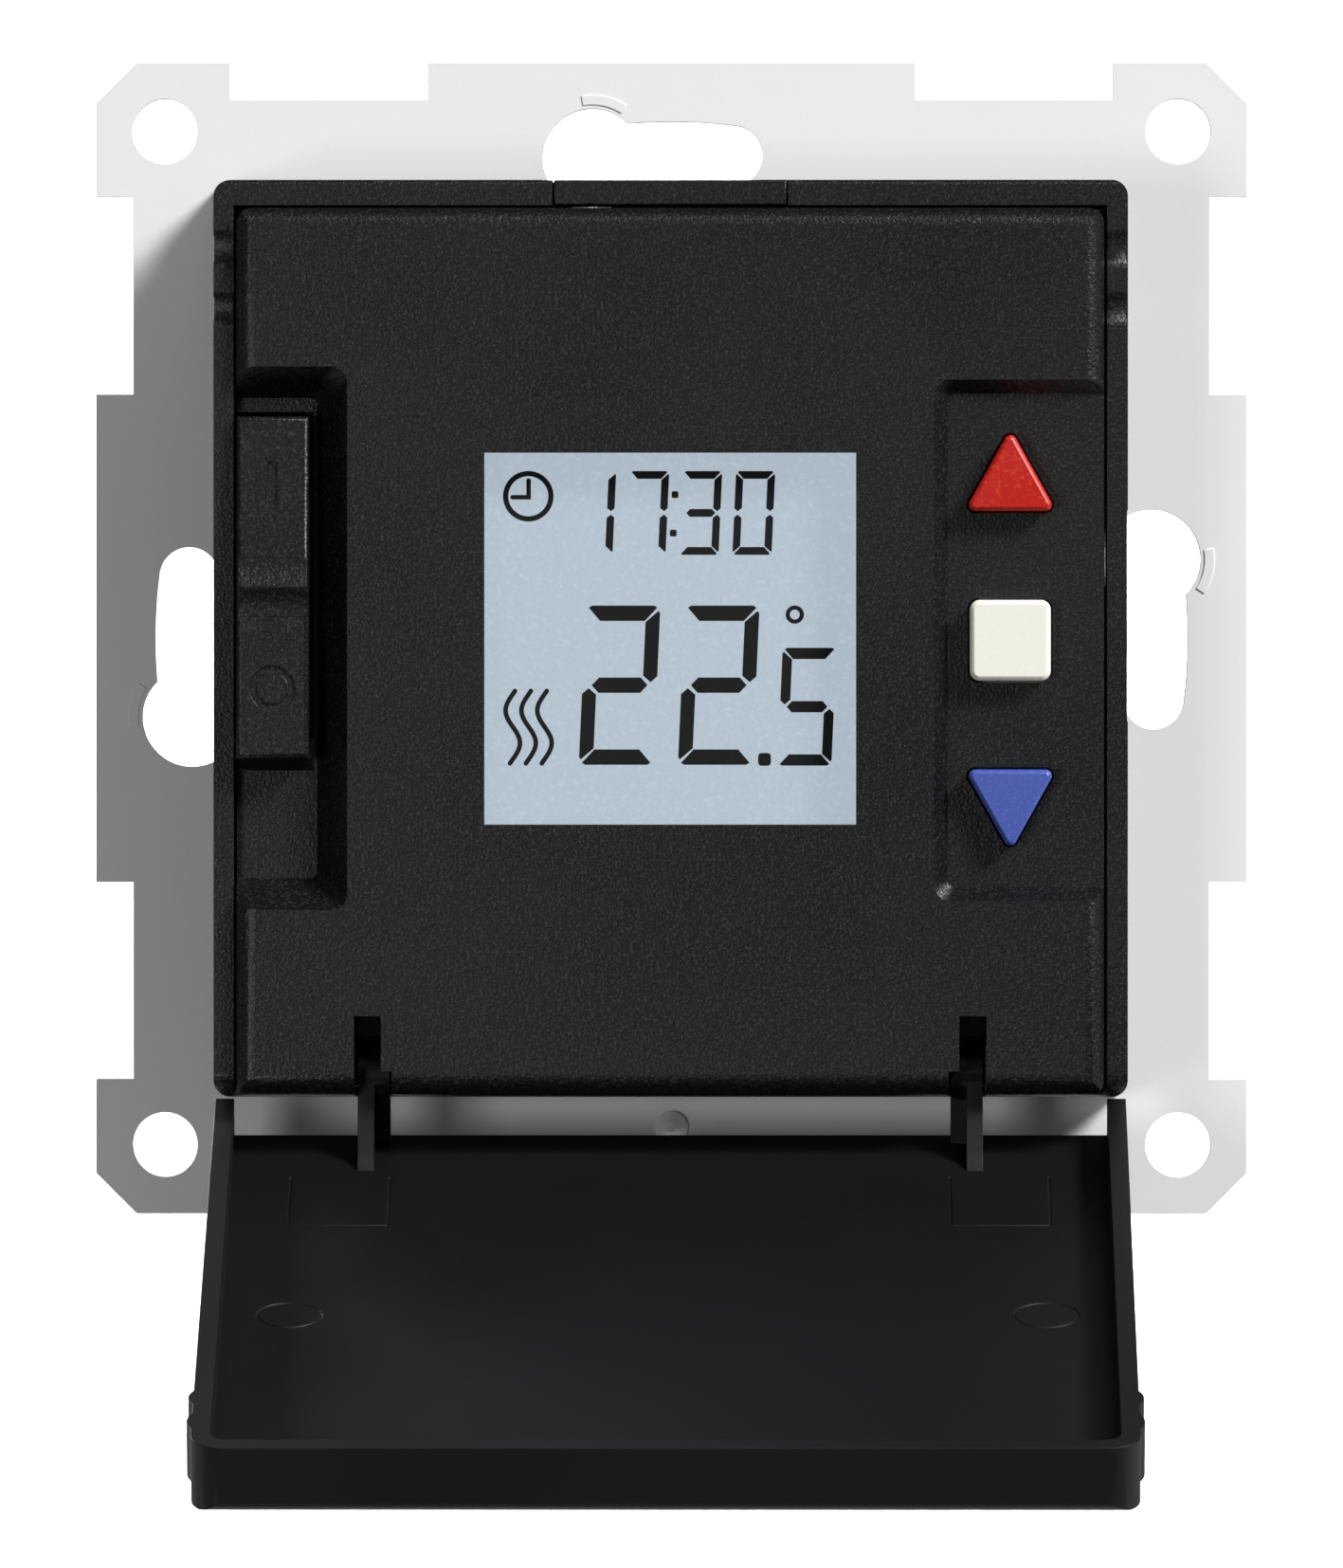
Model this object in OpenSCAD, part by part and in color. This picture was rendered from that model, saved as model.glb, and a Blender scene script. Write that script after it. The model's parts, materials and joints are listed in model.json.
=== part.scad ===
// Flush-mounted clock thermostat with a flip-down door, shown without its outer cover frame.
// Row frame: X right, Z up, the front faces -Y, origin at the middle of the plate's wall face.
// Modules draw in face coordinates (x right, y up, z out of the wall) and face() turns them.

/* [Support plate] */
// Width of the support plate
plate_w = 71; // [66:0.5:90]
// Height of the support plate
plate_h = 71; // [66:0.5:90]
// Thickness of the support plate
plate_t = 1.5; // [1.2:0.1:2]
// Corner chamfer of the plate
plate_chamfer = 2.5; // [1:0.5:4]
// Distance from the plate's centre to the near end of an edge notch
notch_from = 15.05; // [12:0.05:18]
// Length of an edge notch
notch_len = 12.15; // [6:0.05:13]
// Depth of an edge notch
notch_depth = 2.3; // [1:0.1:2.8]
// Diameter of the four corner holes
corner_hole_d = 4; // [3:0.1:4.5]
// Distance of a corner hole's centre from the plate's edges
corner_hole_in = 4.25; // [3.5:0.05:4.5]

/* [Fixing slots] */
// Diameter of the circle that the keyhole slots follow
slot_circle_d = 60; // [59:0.5:61]
// Width of a slot's narrow part
slot_w = 3.7; // [3:0.1:4]
// Diameter of a slot's round entry
slot_entry_d = 6.1; // [5:0.1:6.4]
// Angle from the slot's middle to its narrow end
slot_narrow_angle = 7.2; // [5:0.1:9]
// Angle from the slot's middle to its round entry
slot_entry_angle = 9.35; // [8:0.05:11]

/* [Front unit] */
// Width of the front unit
unit_w = 55.8; // [52:0.2:68]
// Height of the front unit
unit_h = 56; // [52:0.2:68]
// Height of the frame's band above the wall
frame_front = 13.6; // [13:0.1:14.5]
// Width of the side bands
band_side = 1.23; // [1:0.01:1.5]
// Width of the top band
band_top = 1.53; // [1.2:0.01:2]
// Gap between the band and the raised cover
seam = 0.17; // [0.12:0.01:0.3]
// Height of the cover's face above the band
cover_rise = 1.4; // [1.2:0.1:1.8]
// Thickness of the cover's face
sheet_t = 1.7; // [1.4:0.1:2]
// Radius of the cover's front edges
cover_edge_r = 1.2; // [0.6:0.1:1.4]

/* [Display] */
// Side of the square window opening
window_w = 22.7; // [18:0.1:28]
// Side of the liquid-crystal glass
glass_w = 26; // [24:0.1:27]
// Thickness of the liquid-crystal glass
glass_t = 2.2; // [1.6:0.1:2.4]

/* [Buttons] */
// Distance of the button column from the front unit's right side
button_in = 7.15; // [6.5:0.05:8]
// Spacing of the buttons
button_pitch = 10.2; // [8:0.1:13]
// Width of a button
button_w = 5.07; // [4:0.01:6.2]
// How far a button can be pushed
button_travel = 0.5; // [0.3:0.05:0.6]
// Gap round a button
button_gap = 0.14; // [0.1:0.01:0.3]

/* [Rocker] */
// Width of the mains rocker
rocker_w = 4.4; // [3.8:0.1:4.6]
// Length of the mains rocker
rocker_len = 20.9; // [16:0.1:25]
// Height of the rocker's middle above the unit's centre
rocker_up = 2.9; // [0:0.1:3.5]
// Angle between the rocker's two positions
rocker_throw = 6; // [4:0.5:7]
// Radius of the rocker's pin
rocker_pin_r = 0.7; // [0.6:0.05:0.9]
// Radial running clearance of the pins
pin_clear = 0.05; // [0.03:0.01:0.08]

/* [Door] */
// Thickness of the door's panel
door_t = 1.8; // [1.5:0.1:2.2]
// Gap between the cover and the closed door's panel
door_gap = 1.2; // [0.9:0.1:1.6]
// Thickness of the door's side walls
door_wall = 1.15; // [0.9:0.01:1.17]
// Angle that the door stands open
open_angle = 110; // [95:1:115]
// Radius of the door's trunnions
trunnion_r = 0.8; // [0.6:0.05:0.9]
// Distance from the unit's middle to the inner side of a door arm
arm_in = 17.15; // [15:0.05:18]
// Width of a door arm
arm_w = 1.95; // [1.6:0.05:2.2]

/* [Housing] */
// Width of the housing behind the plate
housing_w = 46; // [44:0.5:47]
// Depth of the housing behind the plate
housing_depth = 22; // [21:0.5:28]
// Wall of the housing
housing_wall = 1.2; // [1:0.1:1.6]
// Corner chamfer of the housing
housing_chamfer = 8; // [7:0.5:9]
// Spacing of the wiring terminals
terminal_pitch = 5.08; // [4.5:0.01:5.1]
// Radius of a wire entry
wire_entry_r = 1.4; // [1:0.05:1.5]

/* [Hidden] */
$fn = 48;
tiny = 0.01;            // overlap of a cutter past the face it cuts
half_w = unit_w / 2;
half_h = unit_h / 2;
cover_front = frame_front + cover_rise;
cover_half_w = half_w - band_side - seam;
cover_top = half_h - band_top - seam;
cover_bottom = 0.1 - half_h;
cover_back = 6;         // rear edge of the cover's skirt
skirt_t = 1.2;          // wall of the cover's skirt
sheet_back = cover_front - sheet_t;
skirt_out = 0.2;        // how far the frame's foot stands proud of the bands
skirt_top = 5;          // height of that foot
frame_corner_r = 1;
frame_bottom_r = 1.5;   // round of the frame's lower front edge, which the door's walls pass
frame_floor = 1.3;      // the frame's bottom wall
lip_gap = 0.1;          // gap between that wall and the cover's lip
lip_back = cover_front - 2.05;
ledge_half = 14;
ledge_w = 0.85;
ledge_back = 4.7;
ledge_t = 1;
screw_room = 5;         // height of the cut-outs for the wall screws' heads
// display stack, from the control board outwards
board_back = 6;
board_front = 7.6;
reflector_t = 0.4;
glass_back = sheet_back - 0.7 - glass_t;
guide_w = glass_w - 2.6;
window_flange = 0.5;
holder_wall = 1.2;
holder_w = glass_w + 0.4 + 2 * holder_wall;
// recesses in the cover: [floor edge, outer edge] from the centre line or the unit's centre
button_x = half_w - button_in;
button_mid = -0.1;      // height of the middle button
floor_right = button_x - 3.8;
slope_right = 0.84;
floor_right_z = cover_front - 1;
button_floor_t = 1.2;
pocket_floor_r = 0.45;  // corner radius of a recess at its floor
pocket_face_r = 1.1;    // and at the cover's face
recess_top = 15.8;
recess_bottom = 16;
rocker_x = -cover_half_w + 0.05 + rocker_w / 2;
floor_left = rocker_x + rocker_w / 2 + 0.45;
slope_left = 1.9;
floor_left_z = cover_front - 2.6;
pan_t = 1.2;
left_top = rocker_up + rocker_len / 2 + 1.35;
left_bottom = rocker_up - rocker_len / 2 - 7.1;
rocker_gap = 0.5;       // gap at the rocker's ends
// buttons: cap, flange behind the recess floor, plunger on the switch
button_front = floor_right_z + 1.6;
flange_t = 0.8;
flange_front = floor_right_z - button_floor_t - 0.05;
flange_back = flange_front - flange_t;
button_round = 0.38;
button_h = button_w * 0.913;
plunger_r = 1.6;
plunger_back = flange_back - 1.75;
tact_w = 6;
tact_front = flange_back - button_travel - 0.35;
tact_bore_r = plunger_r + 0.1;
tact_floor = plunger_back - button_travel - 0.35;
// rocker switch
switch_len = rocker_len - 2.9;
switch_x0 = rocker_x - 2.2;
switch_w = 4.9;
switch_front = 9;
switch_wall = 0.8;
shade_rib_t = 0.8;      // rib of the frame that closes the view past the rocker
shade_rib_x = switch_x0 + 0.75;
pivot_z = 10.2;
rib_t = 0.8;
lug_t = 0.75;
lug_gap = 0.1;
bridge_throw = 1.5 * rocker_throw;
bridge_z = 4.9;
bridge_half = 4.9;
leg_tip = 6.1;
// door: pivot and stack, drawn closed and then turned open
hinge_y = 1.4 - half_h;
hinge_z = cover_front - 3.4;
door_back = cover_front + door_gap;
door_front = door_back + door_t;
rim_back = frame_front + 0.2;
lip_t = 1.3;
door_corner_r = 2;
boss_r = 1.6;
arm_sweep = 0.45;       // room behind the boss for the arm when it is open
mark_x = 22.7;          // round ejector marks on the door's inner face
mark_up = 1.4;
mark_r = 2;
mark_line = 0.15;
mark_depth = 0.06;
insert_w = 6.2;         // outline of the mould insert beside each arm
insert_y0 = 7 - half_h;
insert_y1 = 15 - half_h;
arm_out = arm_in + arm_w;
web_t = 1;
lug_side_gap = 0.15;
hinge_lug_t = 1.6;
slot_top = hinge_y + 3.57;
slot_wide_top = hinge_y + 0.2;
// finger grips: distance from the unit's top and chord of each groove or lobe
grips = [[4.2, 2.4], [7.85, 2.1]];
grip_depth = 0.3;
// power supply behind the plate
power_front = -2.8;
power_back = -4.4;
step_y = 9.5;
step_depth = 16.5;
block_y = 12.4;
block_w = 6 * terminal_pitch + 1.6;
block_back = -16.2;
screw_x = housing_w / 2 - 3.7;
screw_y = 13.8;
post_r = 2.2;
terminals = [for (i = [0:5]) (i - 2.5) * terminal_pitch];
header_y = -15;

// ---- shared shapes ----
module face() { rotate([90, 0, 0]) children(); }

module block(x0, x1, y0, y1, z0, z1) {
    translate([x0, y0, z0]) cube([x1 - x0, y1 - y0, z1 - z0]);
}

module mirrored() { children(); mirror([1, 0, 0]) children(); }

// Rectangle with round corners, centred
module round_rect(w, h, r) {
    square([w - 2 * r, h], center = true);
    square([w, h - 2 * r], center = true);
    for (x = [-1, 1], y = [-1, 1]) translate([x * (w / 2 - r), y * (h / 2 - r)]) circle(r);
}

// Rectangle with cut corners, centred
module cut_rect(w, h, c) {
    a = w / 2; b = h / 2;
    polygon([[c - a, -b], [a - c, -b], [a, c - b], [a, b - c],
        [a - c, b], [c - a, b], [-a, b - c], [-a, c - b]]);
}

module slab(w, h, r, z0, z1) { translate([0, 0, z0]) linear_extrude(z1 - z0) round_rect(w, h, r); }

module post(x, y, r, z0, z1) { translate([x, y, z0]) cylinder(r = r, h = z1 - z0); }

// Cylinder along x from x0 to x1 through (y, z)
module axle(x0, x1, y, z, r) { translate([x0, y, z]) rotate([0, 90, 0]) cylinder(r = r, h = x1 - x0); }

// Outline in (x, z), carried from y0 to y1
module along_y(y0, y1) { translate([0, y1, 0]) rotate([90, 0, 0]) linear_extrude(y1 - y0) children(); }

// Outline drawn as (y, z), carried from x0 to x1
module along_x(x0, x1) {
    translate([x0, 0, 0]) rotate([90, 0, 90]) linear_extrude(x1 - x0) children();
}

// Polygon on the given corner centres with round corners of radius r, counter-clockwise
function side_normal(a, b) = let (d = b - a) [d.y, -d.x] / norm(d);
module round_poly(c, r) {
    n = len(c);
    polygon([for (i = [0:n - 1]) each [
        c[i] + r * side_normal(c[(i + n - 1) % n], c[i]),
        c[i] + r * side_normal(c[i], c[(i + 1) % n])]]);
    for (p = c) translate(p) circle(r);
}

// Section with a round on its upper corners: from a0 to a1, r0 and r1 are the rounds
module arch(a0, a1, z0, z1, r0, r1) {
    polygon([[a0, z0], [a1, z0], [a1, z1 - r1], [a1 - r1, z1], [a0 + r0, z1], [a0, z1 - r0]]);
    translate([a0 + r0, z1 - r0]) circle(r0);
    translate([a1 - r1, z1 - r1]) circle(r1);
}

// Piece of a ring about the origin between two angles
module ring_piece(r_mid, w, a0, a1) {
    am = (a0 + a1) / 2;
    far = 2 * r_mid;
    intersection() {
        difference() { circle(r_mid + w / 2, $fn = 96); circle(r_mid - w / 2, $fn = 96); }
        polygon([[0, 0], far * [cos(a0), sin(a0)], far * [cos(am), sin(am)], far * [cos(a1), sin(a1)]]);
    }
}

// Keyhole slot about the direction a, its round entry at the counter-clockwise end
module keyhole(a, grow = 0) {
    r = slot_circle_d / 2;
    a0 = a - slot_narrow_angle;
    a1 = a + slot_entry_angle;
    ring_piece(r, slot_w + 2 * grow, a0, a1);
    translate(r * [cos(a0), sin(a0)]) circle(slot_w / 2 + grow);
    translate(r * [cos(a1), sin(a1)]) circle(slot_entry_d / 2 + grow);
}
slot_angles = [0, 90, 180];

arc_rise = 0.08;

// ---- wall side ----
module support_plate() color("white") face() {
    r = slot_circle_d / 2;
    difference() {
        linear_extrude(plate_t) difference() {
            cut_rect(plate_w, plate_h, plate_chamfer);
            for (s = [-1, 1], e = [-1, 1]) {
                translate([s * (notch_from + notch_len / 2), e * plate_h / 2])
                    square([notch_len, 2 * notch_depth], center = true);
                translate([e * plate_w / 2, s * (notch_from + notch_len / 2)])
                    square([2 * notch_depth, notch_len], center = true);
            }
            for (a = slot_angles) keyhole(a);
            round_rect(32, 36, 3);
        }
        for (x = [-1, 1], y = [-1, 1]) {
            post(x * (plate_w / 2 - corner_hole_in), y * (plate_h / 2 - corner_hole_in), corner_hole_d / 2,
                -tiny, plate_t + tiny);
            post(x * screw_x, y * screw_y, 1.15, -tiny, plate_t + tiny);
            post(x * screw_x, y * screw_y, 2, plate_t - 0.9, plate_t + tiny);
        }
    }
    // faint moulded arcs beside the round entries, clear of the frame's foot, and the locating nub
    difference() {
        for (a = slot_angles) translate(r * [cos(a + slot_entry_angle), sin(a + slot_entry_angle)])
            translate([0, 0, plate_t - tiny]) linear_extrude(arc_rise) ring_piece(3.6, 0.6, a - 33, a + 10);
        slab(unit_w + 2 * skirt_out + 0.1, unit_h + 2 * skirt_out + 0.1, frame_corner_r, plate_t, skirt_top);
    }
    post(0, -half_h - 2.15, 1, plate_t - tiny, plate_t + 0.3);
    translate([0, -half_h - 2.15, plate_t + 0.3]) cylinder(r1 = 1, r2 = 0.3, h = 0.5);
}

module housing_outline(inset) {
    cut_rect(housing_w - 2 * inset, housing_w - 2 * inset, housing_chamfer - inset * 0.586);
}

module rear_housing() color("gainsboro") face() {
    w = housing_wall;
    difference() {
        union() {
            difference() {
                union() {
                    translate([0, 0, -step_depth]) linear_extrude(step_depth) housing_outline(0);
                    intersection() {
                        translate([0, 0, -housing_depth]) linear_extrude(housing_depth) housing_outline(0);
                        block(-housing_w, housing_w, -housing_w, step_y, -housing_depth - tiny, 0);
                    }
                }
                translate([0, 0, w - step_depth]) linear_extrude(step_depth) housing_outline(w);
                intersection() {
                    translate([0, 0, w - housing_depth]) linear_extrude(housing_depth) housing_outline(w);
                    block(-housing_w, housing_w, -housing_w, step_y - w, -housing_depth, tiny);
                }
                // bay of the terminal block, open to the rear and the top
                block(-block_w / 2 - 0.15, block_w / 2 + 0.15, block_y - 0.15, housing_w, -step_depth - 1,
                    power_back + 0.4);
            }
            // screw posts and the ledges that carry the power board
            for (x = [-1, 1]) {
                post(x * screw_x, screw_y, post_r, w - step_depth - 0.2, 0);
                post(x * screw_x, -screw_y, post_r, w - housing_depth - 0.2, 0);
                block(min(x * (housing_w / 2 - w - 1.4), x * (housing_w / 2 - w + 0.2)),
                    max(x * (housing_w / 2 - w - 1.4), x * (housing_w / 2 - w + 0.2)),
                    -8, 8, w - housing_depth - 0.2, power_back);
            }
        }
        for (x = [-1, 1], y = [-1, 1]) post(x * screw_x, y * screw_y, 0.85, -8, tiny);
        // cooling slits in the lower side
        for (x = [-12:4:12]) block(x - 0.6, x + 0.6, -housing_w, -housing_w / 2 + w + 1, -18, -8);
    }
}

module base_screws() color("silver") face() for (x = [-1, 1], y = [-1, 1]) difference() {
    union() {
        post(x * screw_x, y * screw_y, 0.85, -7.5, plate_t - 0.85);
        post(x * screw_x, y * screw_y, 1.85, plate_t - 0.9, plate_t - 0.1);
    }
    translate([x * screw_x, y * screw_y, plate_t]) cube([0.5, 2.6, 1.0], center = true);
    translate([x * screw_x, y * screw_y, plate_t]) cube([2.6, 0.5, 1.0], center = true);
}

module power_board() color("darkgreen") face() difference() {
    translate([0, 0, power_back]) linear_extrude(power_front - power_back)
        housing_outline(housing_wall + 0.2);
    for (x = [-1, 1], y = [-1, 1]) post(x * screw_x, y * screw_y, post_r + 0.2, power_back - 1, 0);
}

module terminal_block() color("gray") face() difference() {
    block(-block_w / 2, block_w / 2, block_y, housing_w / 2, block_back, power_back);
    for (x = terminals) {
        // wire entry, clamp chamber and screw shaft of one pole
        translate([x, 0, -9.6]) rotate([-90, 0, 0])
            cylinder(r = wire_entry_r, h = housing_w / 2 + tiny);
        block(x - 2, x + 2, block_y + 1.4, block_y + 6.6, -12.6, -6.4);
        post(x, block_y + 4, 1.95, block_back - tiny, -12);
    }
}

module terminal_clamps() color("gold") face() for (x = terminals) difference() {
    block(x - 1.8, x + 1.8, block_y + 1.8, block_y + 6.2, -12.4, -6.6);
    block(x - 1.2, x + 1.2, block_y + 1.8 - tiny, block_y + 6.2 + tiny, -11, -7.4);
    post(x, block_y + 4, 1.1, -13, -10.9);
}

module terminal_screws() color("silver") face() for (x = terminals) difference() {
    union() {
        post(x, block_y + 4, 1.1, -15, -10);
        post(x, block_y + 4, 1.8, -15.6, -14);
    }
    translate([x, block_y + 4, -15.6]) cube([4, 0.5, 1.2], center = true);
}

module relay() color("royalblue") face() block(-20.2, 0.3, -8, 2.2, power_back - 15, power_back);

module film_capacitor() color("goldenrod") face() block(6, 19, 2, 7, power_back - 11, power_back);

module smoothing_capacitor() color("black") face() {
    post(9, -9, 5, power_back - 12, power_back);
    post(9, -9, 4.2, power_back - 12.3, power_back);
}

module varistor() color("steelblue") face() {
    translate([-3, -13.2, power_back - 4.6]) rotate([90, 0, 0]) cylinder(r = 3.6, h = 2.6);
    for (s = [-1, 1]) post(-3 + s * 2.5, -14.5, 0.35, power_back - 3, power_back);
}

module fuse() color("brown") face() block(-16.6, -8.1, -16.5, -12.5, power_back - 8, power_back);

module header_socket() color("dimgray") face() difference() {
    block(-8.2, 8.2, header_y - 1.3, header_y + 1.3, power_front, 3.2);
    for (i = [-2.5:2.5]) translate([i * 2.54, header_y, 1]) cube([0.9, 0.9, 6], center = true);
}

module header_pins() color("dimgray") face() {
    block(-8.2, 8.2, header_y - 1.2, header_y + 1.2, 3.5, board_back);
    for (i = [-2.5:2.5]) translate([i * 2.54, header_y, 2.5]) cube([0.6, 0.6, 7], center = true);
}

// ---- front unit ----
module front_frame() color("#1c1c1d") face() {
    inner_w = 2 * (half_w - band_side);
    difference() {
        union() {
            frame_rim(inner_w);
            // hinge lugs on both sides of each arm
            mirrored() {
                hinge_lug(arm_in - lug_side_gap - hinge_lug_t);
                hinge_lug(arm_out + lug_side_gap);
            }
            block(-inner_w / 2 - tiny, shade_rib_x, rocker_up - switch_len / 2, rocker_up + switch_len / 2,
                switch_front + 0.1, switch_front + 0.1 + shade_rib_t);
            // ledges behind the seam where the screw slots would show through it
            block(-ledge_half, ledge_half, half_h - band_top - ledge_w, half_h - band_top + tiny, ledge_back,
                ledge_back + ledge_t);
            block(inner_w / 2 - ledge_w, inner_w / 2 + tiny, -ledge_half, ledge_half, ledge_back,
                ledge_back + ledge_t);
        }
        mirrored() axle(arm_in - 4, arm_out + 4, hinge_y, hinge_z, trunnion_r + pin_clear);
    }
}

module frame_rim(inner_w) {
    difference() {
        union() {
            intersection() {
                translate([0, 0, plate_t]) linear_extrude(frame_front - plate_t)
                    round_rect(unit_w, unit_h, frame_corner_r);
                along_x(-half_w, half_w)
                    arch(-half_h, half_h, plate_t, frame_front, frame_bottom_r, 0.3);
            }
            slab(unit_w + 2 * skirt_out, unit_h + 2 * skirt_out, frame_corner_r, plate_t, skirt_top);
        }
        // opening for the cover: open to the front, closed below by the frame's floor
        block(-inner_w / 2, inner_w / 2, frame_floor - half_h, half_h - band_top, plate_t - tiny,
            frame_front + tiny);
        block(-inner_w / 2, inner_w / 2, -unit_h, -half_h + frame_floor + tiny, lip_back - lip_gap,
            frame_front + tiny);
        translate([0, 0, plate_t - tiny]) linear_extrude(screw_room)
            for (a = slot_angles) keyhole(a, 0.3);
        // room for the latch tongue in the top band
        block(-latch_half - 0.1, latch_half + 0.1, half_h - band_top - tiny, unit_h, latch_back,
            frame_front + tiny);
        // passages of the door's arms through the floor
        mirrored() block(arm_in - lug_side_gap, arm_out + lug_side_gap,
            -unit_h, -half_h + frame_floor + tiny, hinge_z - boss_r - arm_sweep, frame_front + tiny);
        // finger-grip grooves across the side bands, and the pulled-in outer edge beside them
        for (g = grips) {
            groove_r = (g[1] * g[1] / 4 + grip_depth * grip_depth) / (2 * grip_depth);
            mirrored() {
                axle(inner_w / 2 - 1, half_w + 1, half_h - g[0],
                    frame_front + groove_r - grip_depth, groove_r);
                post(half_w + groove_r - grip_depth / 2, half_h - g[0], groove_r, frame_front - 1.6,
                    frame_front + tiny);
            }
        }
        mirrored() block(inner_w / 2 - tiny, inner_w / 2 + 0.6, -22.2, -17.8, 7.8, 9.2);
        mirrored() block(inner_w / 2 - tiny, inner_w / 2 + 0.6, 17.8, 22.2, 7.8, 9.2);
    }
}

module hinge_lug(x) {
    block(x, x + hinge_lug_t, -half_h + frame_floor / 2, hinge_y + 1.7, plate_t, lip_back - lip_gap);
}

latch_half = 7.1;
latch_back = 7;
module cover_latch() color("#1c1c1d") face() {
    block(-latch_half, latch_half, half_h - band_top, half_h, latch_back, frame_front);
}

// Pocket with sloped sides: floor [x0, x1] by [y0, y1] at z0, sides that flare by s up to z1.
// The side of x that lies past the cover stays upright.
module pocket(x0, x1, y0, y1, z0, z1, s) {
    rise = 1.2;         // the cutter goes a fifth past the face
    flare = s * rise;
    left = x0 < -unit_w + 1 ? 0 : flare;
    right = x1 > unit_w - 1 ? 0 : flare;
    hull() {
        pocket_level(x0, x1, y0, y1, z0, pocket_floor_r);
        pocket_level(x0 - left, x1 + right, y0 - flare, y1 + flare, z0 + (z1 - z0) * rise, pocket_face_r);
    }
}

module pocket_level(x0, x1, y0, y1, z, r) {
    translate([(x0 + x1) / 2, (y0 + y1) / 2, z]) linear_extrude(tiny) round_rect(x1 - x0, y1 - y0, r);
}

module cover_outer() {
    intersection() {
        translate([0, (cover_top + cover_bottom) / 2, cover_back]) linear_extrude(cover_front - cover_back)
            round_rect(2 * cover_half_w, cover_top - cover_bottom, 1);
        along_x(-cover_half_w, cover_half_w)
            arch(cover_bottom, cover_top, cover_back, cover_front, cover_edge_r + 0.2, cover_edge_r);
        along_y(cover_bottom, cover_top)
            arch(-cover_half_w, cover_half_w, cover_back, cover_front, cover_edge_r, cover_edge_r);
    }
}

rocker_y0 = rocker_up - rocker_len / 2 - rocker_gap;
rocker_y1 = rocker_up + rocker_len / 2 + rocker_gap;
stud_x = holder_w / 2 + 2.2;
stud_y = 20.5;
module front_cover() color("#1c1c1d") face() {
    difference() {
        union() {
            difference() {
                cover_outer();
                block(skirt_t - cover_half_w, cover_half_w - skirt_t, -unit_h, cover_top - skirt_t,
                    cover_back - tiny, sheet_back);
                // below the lip the frame's floor closes the unit
                block(-unit_w, unit_w, -unit_h, -half_h + frame_floor + 1, cover_back - tiny, lip_back);
            }
            intersection() {
                cover_outer();
                union() {
                    block(-unit_w, floor_left + slope_left + 0.6, left_bottom - 1.6, left_top + 2.4,
                        floor_left_z - pan_t, sheet_back + tiny);
                    block(floor_right - 1.6, unit_w, -recess_bottom - 0.8, recess_top + 0.8,
                        floor_right_z - button_floor_t, sheet_back + tiny);
                }
            }
            // snap lugs and the studs of the control board
            mirrored() for (y = [-20, 20])
                block(cover_half_w - 0.2, cover_half_w + 0.45, y - 2, y + 2, 8, 9);
            for (x = [-1, 1], y = [-1, 1]) post(x * stud_x, y * stud_y, 1.8, board_front, sheet_back + tiny);
        }
        for (x = [-1, 1], y = [-1, 1]) post(x * stud_x, y * stud_y, 0.7, board_front - tiny, 12.2);
        // recess of the rocker, open to the left
        pocket(-unit_w, floor_left, left_bottom, left_top, floor_left_z, cover_front, slope_left);
        block(-unit_w, rocker_x + rocker_w / 2 + 0.25, rocker_y0, rocker_y1, 5, cover_front);
        block(-unit_w, skirt_t - cover_half_w + tiny, switch_y0 - 0.5, switch_y1 + 0.5,
            0, floor_left_z - pan_t);
        // recess of the buttons, open to the right
        pocket(floor_right, unit_w, slope_right - recess_bottom, recess_top - slope_right, floor_right_z,
            cover_front, slope_right);
        translate([0, 0, floor_right_z - 3]) linear_extrude(4) {
            translate([button_x, button_mid + button_pitch]) button_outline(button_gap);
            translate([button_x, button_mid]) square_outline(button_gap);
            translate([button_x, button_mid - button_pitch]) mirror([0, 1]) button_outline(button_gap);
        }
        block(-window_w / 2, window_w / 2, -window_w / 2, window_w / 2, sheet_back - 1, cover_front + 1);
        // slots of the door's arms: a narrow front part, wider at the lower edge
        mirrored() {
            block(arm_out - web_t - 0.45, arm_out + 0.2, -unit_h, slot_top, 5, cover_front + 1);
            block(arm_in - 0.15, arm_out + 0.2, -unit_h, slot_wide_top, 5, cover_front + 1);
            block(arm_in - lug_side_gap - hinge_lug_t - 0.3, arm_out + lug_side_gap + hinge_lug_t + 0.3,
                -unit_h, hinge_y + 2, 5, lip_back);
        }
    }
}

module button_outline(grow) {
    a = button_w / 2 - button_round;
    b = button_h / 2 - button_round;
    round_poly([[-a, -b], [a, -b], [0, b]], button_round + grow);
}

module square_outline(grow) {
    round_rect(button_h + 0.3 + 2 * grow, button_h + 0.3 + 2 * grow, 0.6 + grow);
}

module button_up() color("crimson") face() translate([button_x, button_mid + button_pitch, 0]) {
    translate([0, 0, flange_front - tiny]) linear_extrude(button_front - flange_front) button_outline(0);
    translate([0, 0, flange_back]) linear_extrude(flange_t) button_outline(0.8);
}

module button_set() color("ivory") face() translate([button_x, button_mid, 0]) {
    translate([0, 0, flange_front - tiny]) linear_extrude(button_front - flange_front) square_outline(0);
    translate([0, 0, flange_back]) linear_extrude(flange_t) square_outline(0.8);
}

module button_down() color("mediumblue") face() translate([button_x, button_mid - button_pitch, 0])
    mirror([0, 1, 0]) {
    translate([0, 0, flange_front - tiny]) linear_extrude(button_front - flange_front) button_outline(0);
    translate([0, 0, flange_back]) linear_extrude(flange_t) button_outline(0.8);
}

module plunger(row) color("white") face()
    post(button_x, button_mid + row * button_pitch, plunger_r, plunger_back, flange_back);
module plunger_up() plunger(1);
module plunger_set() plunger(0);
module plunger_down() plunger(-1);

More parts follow.
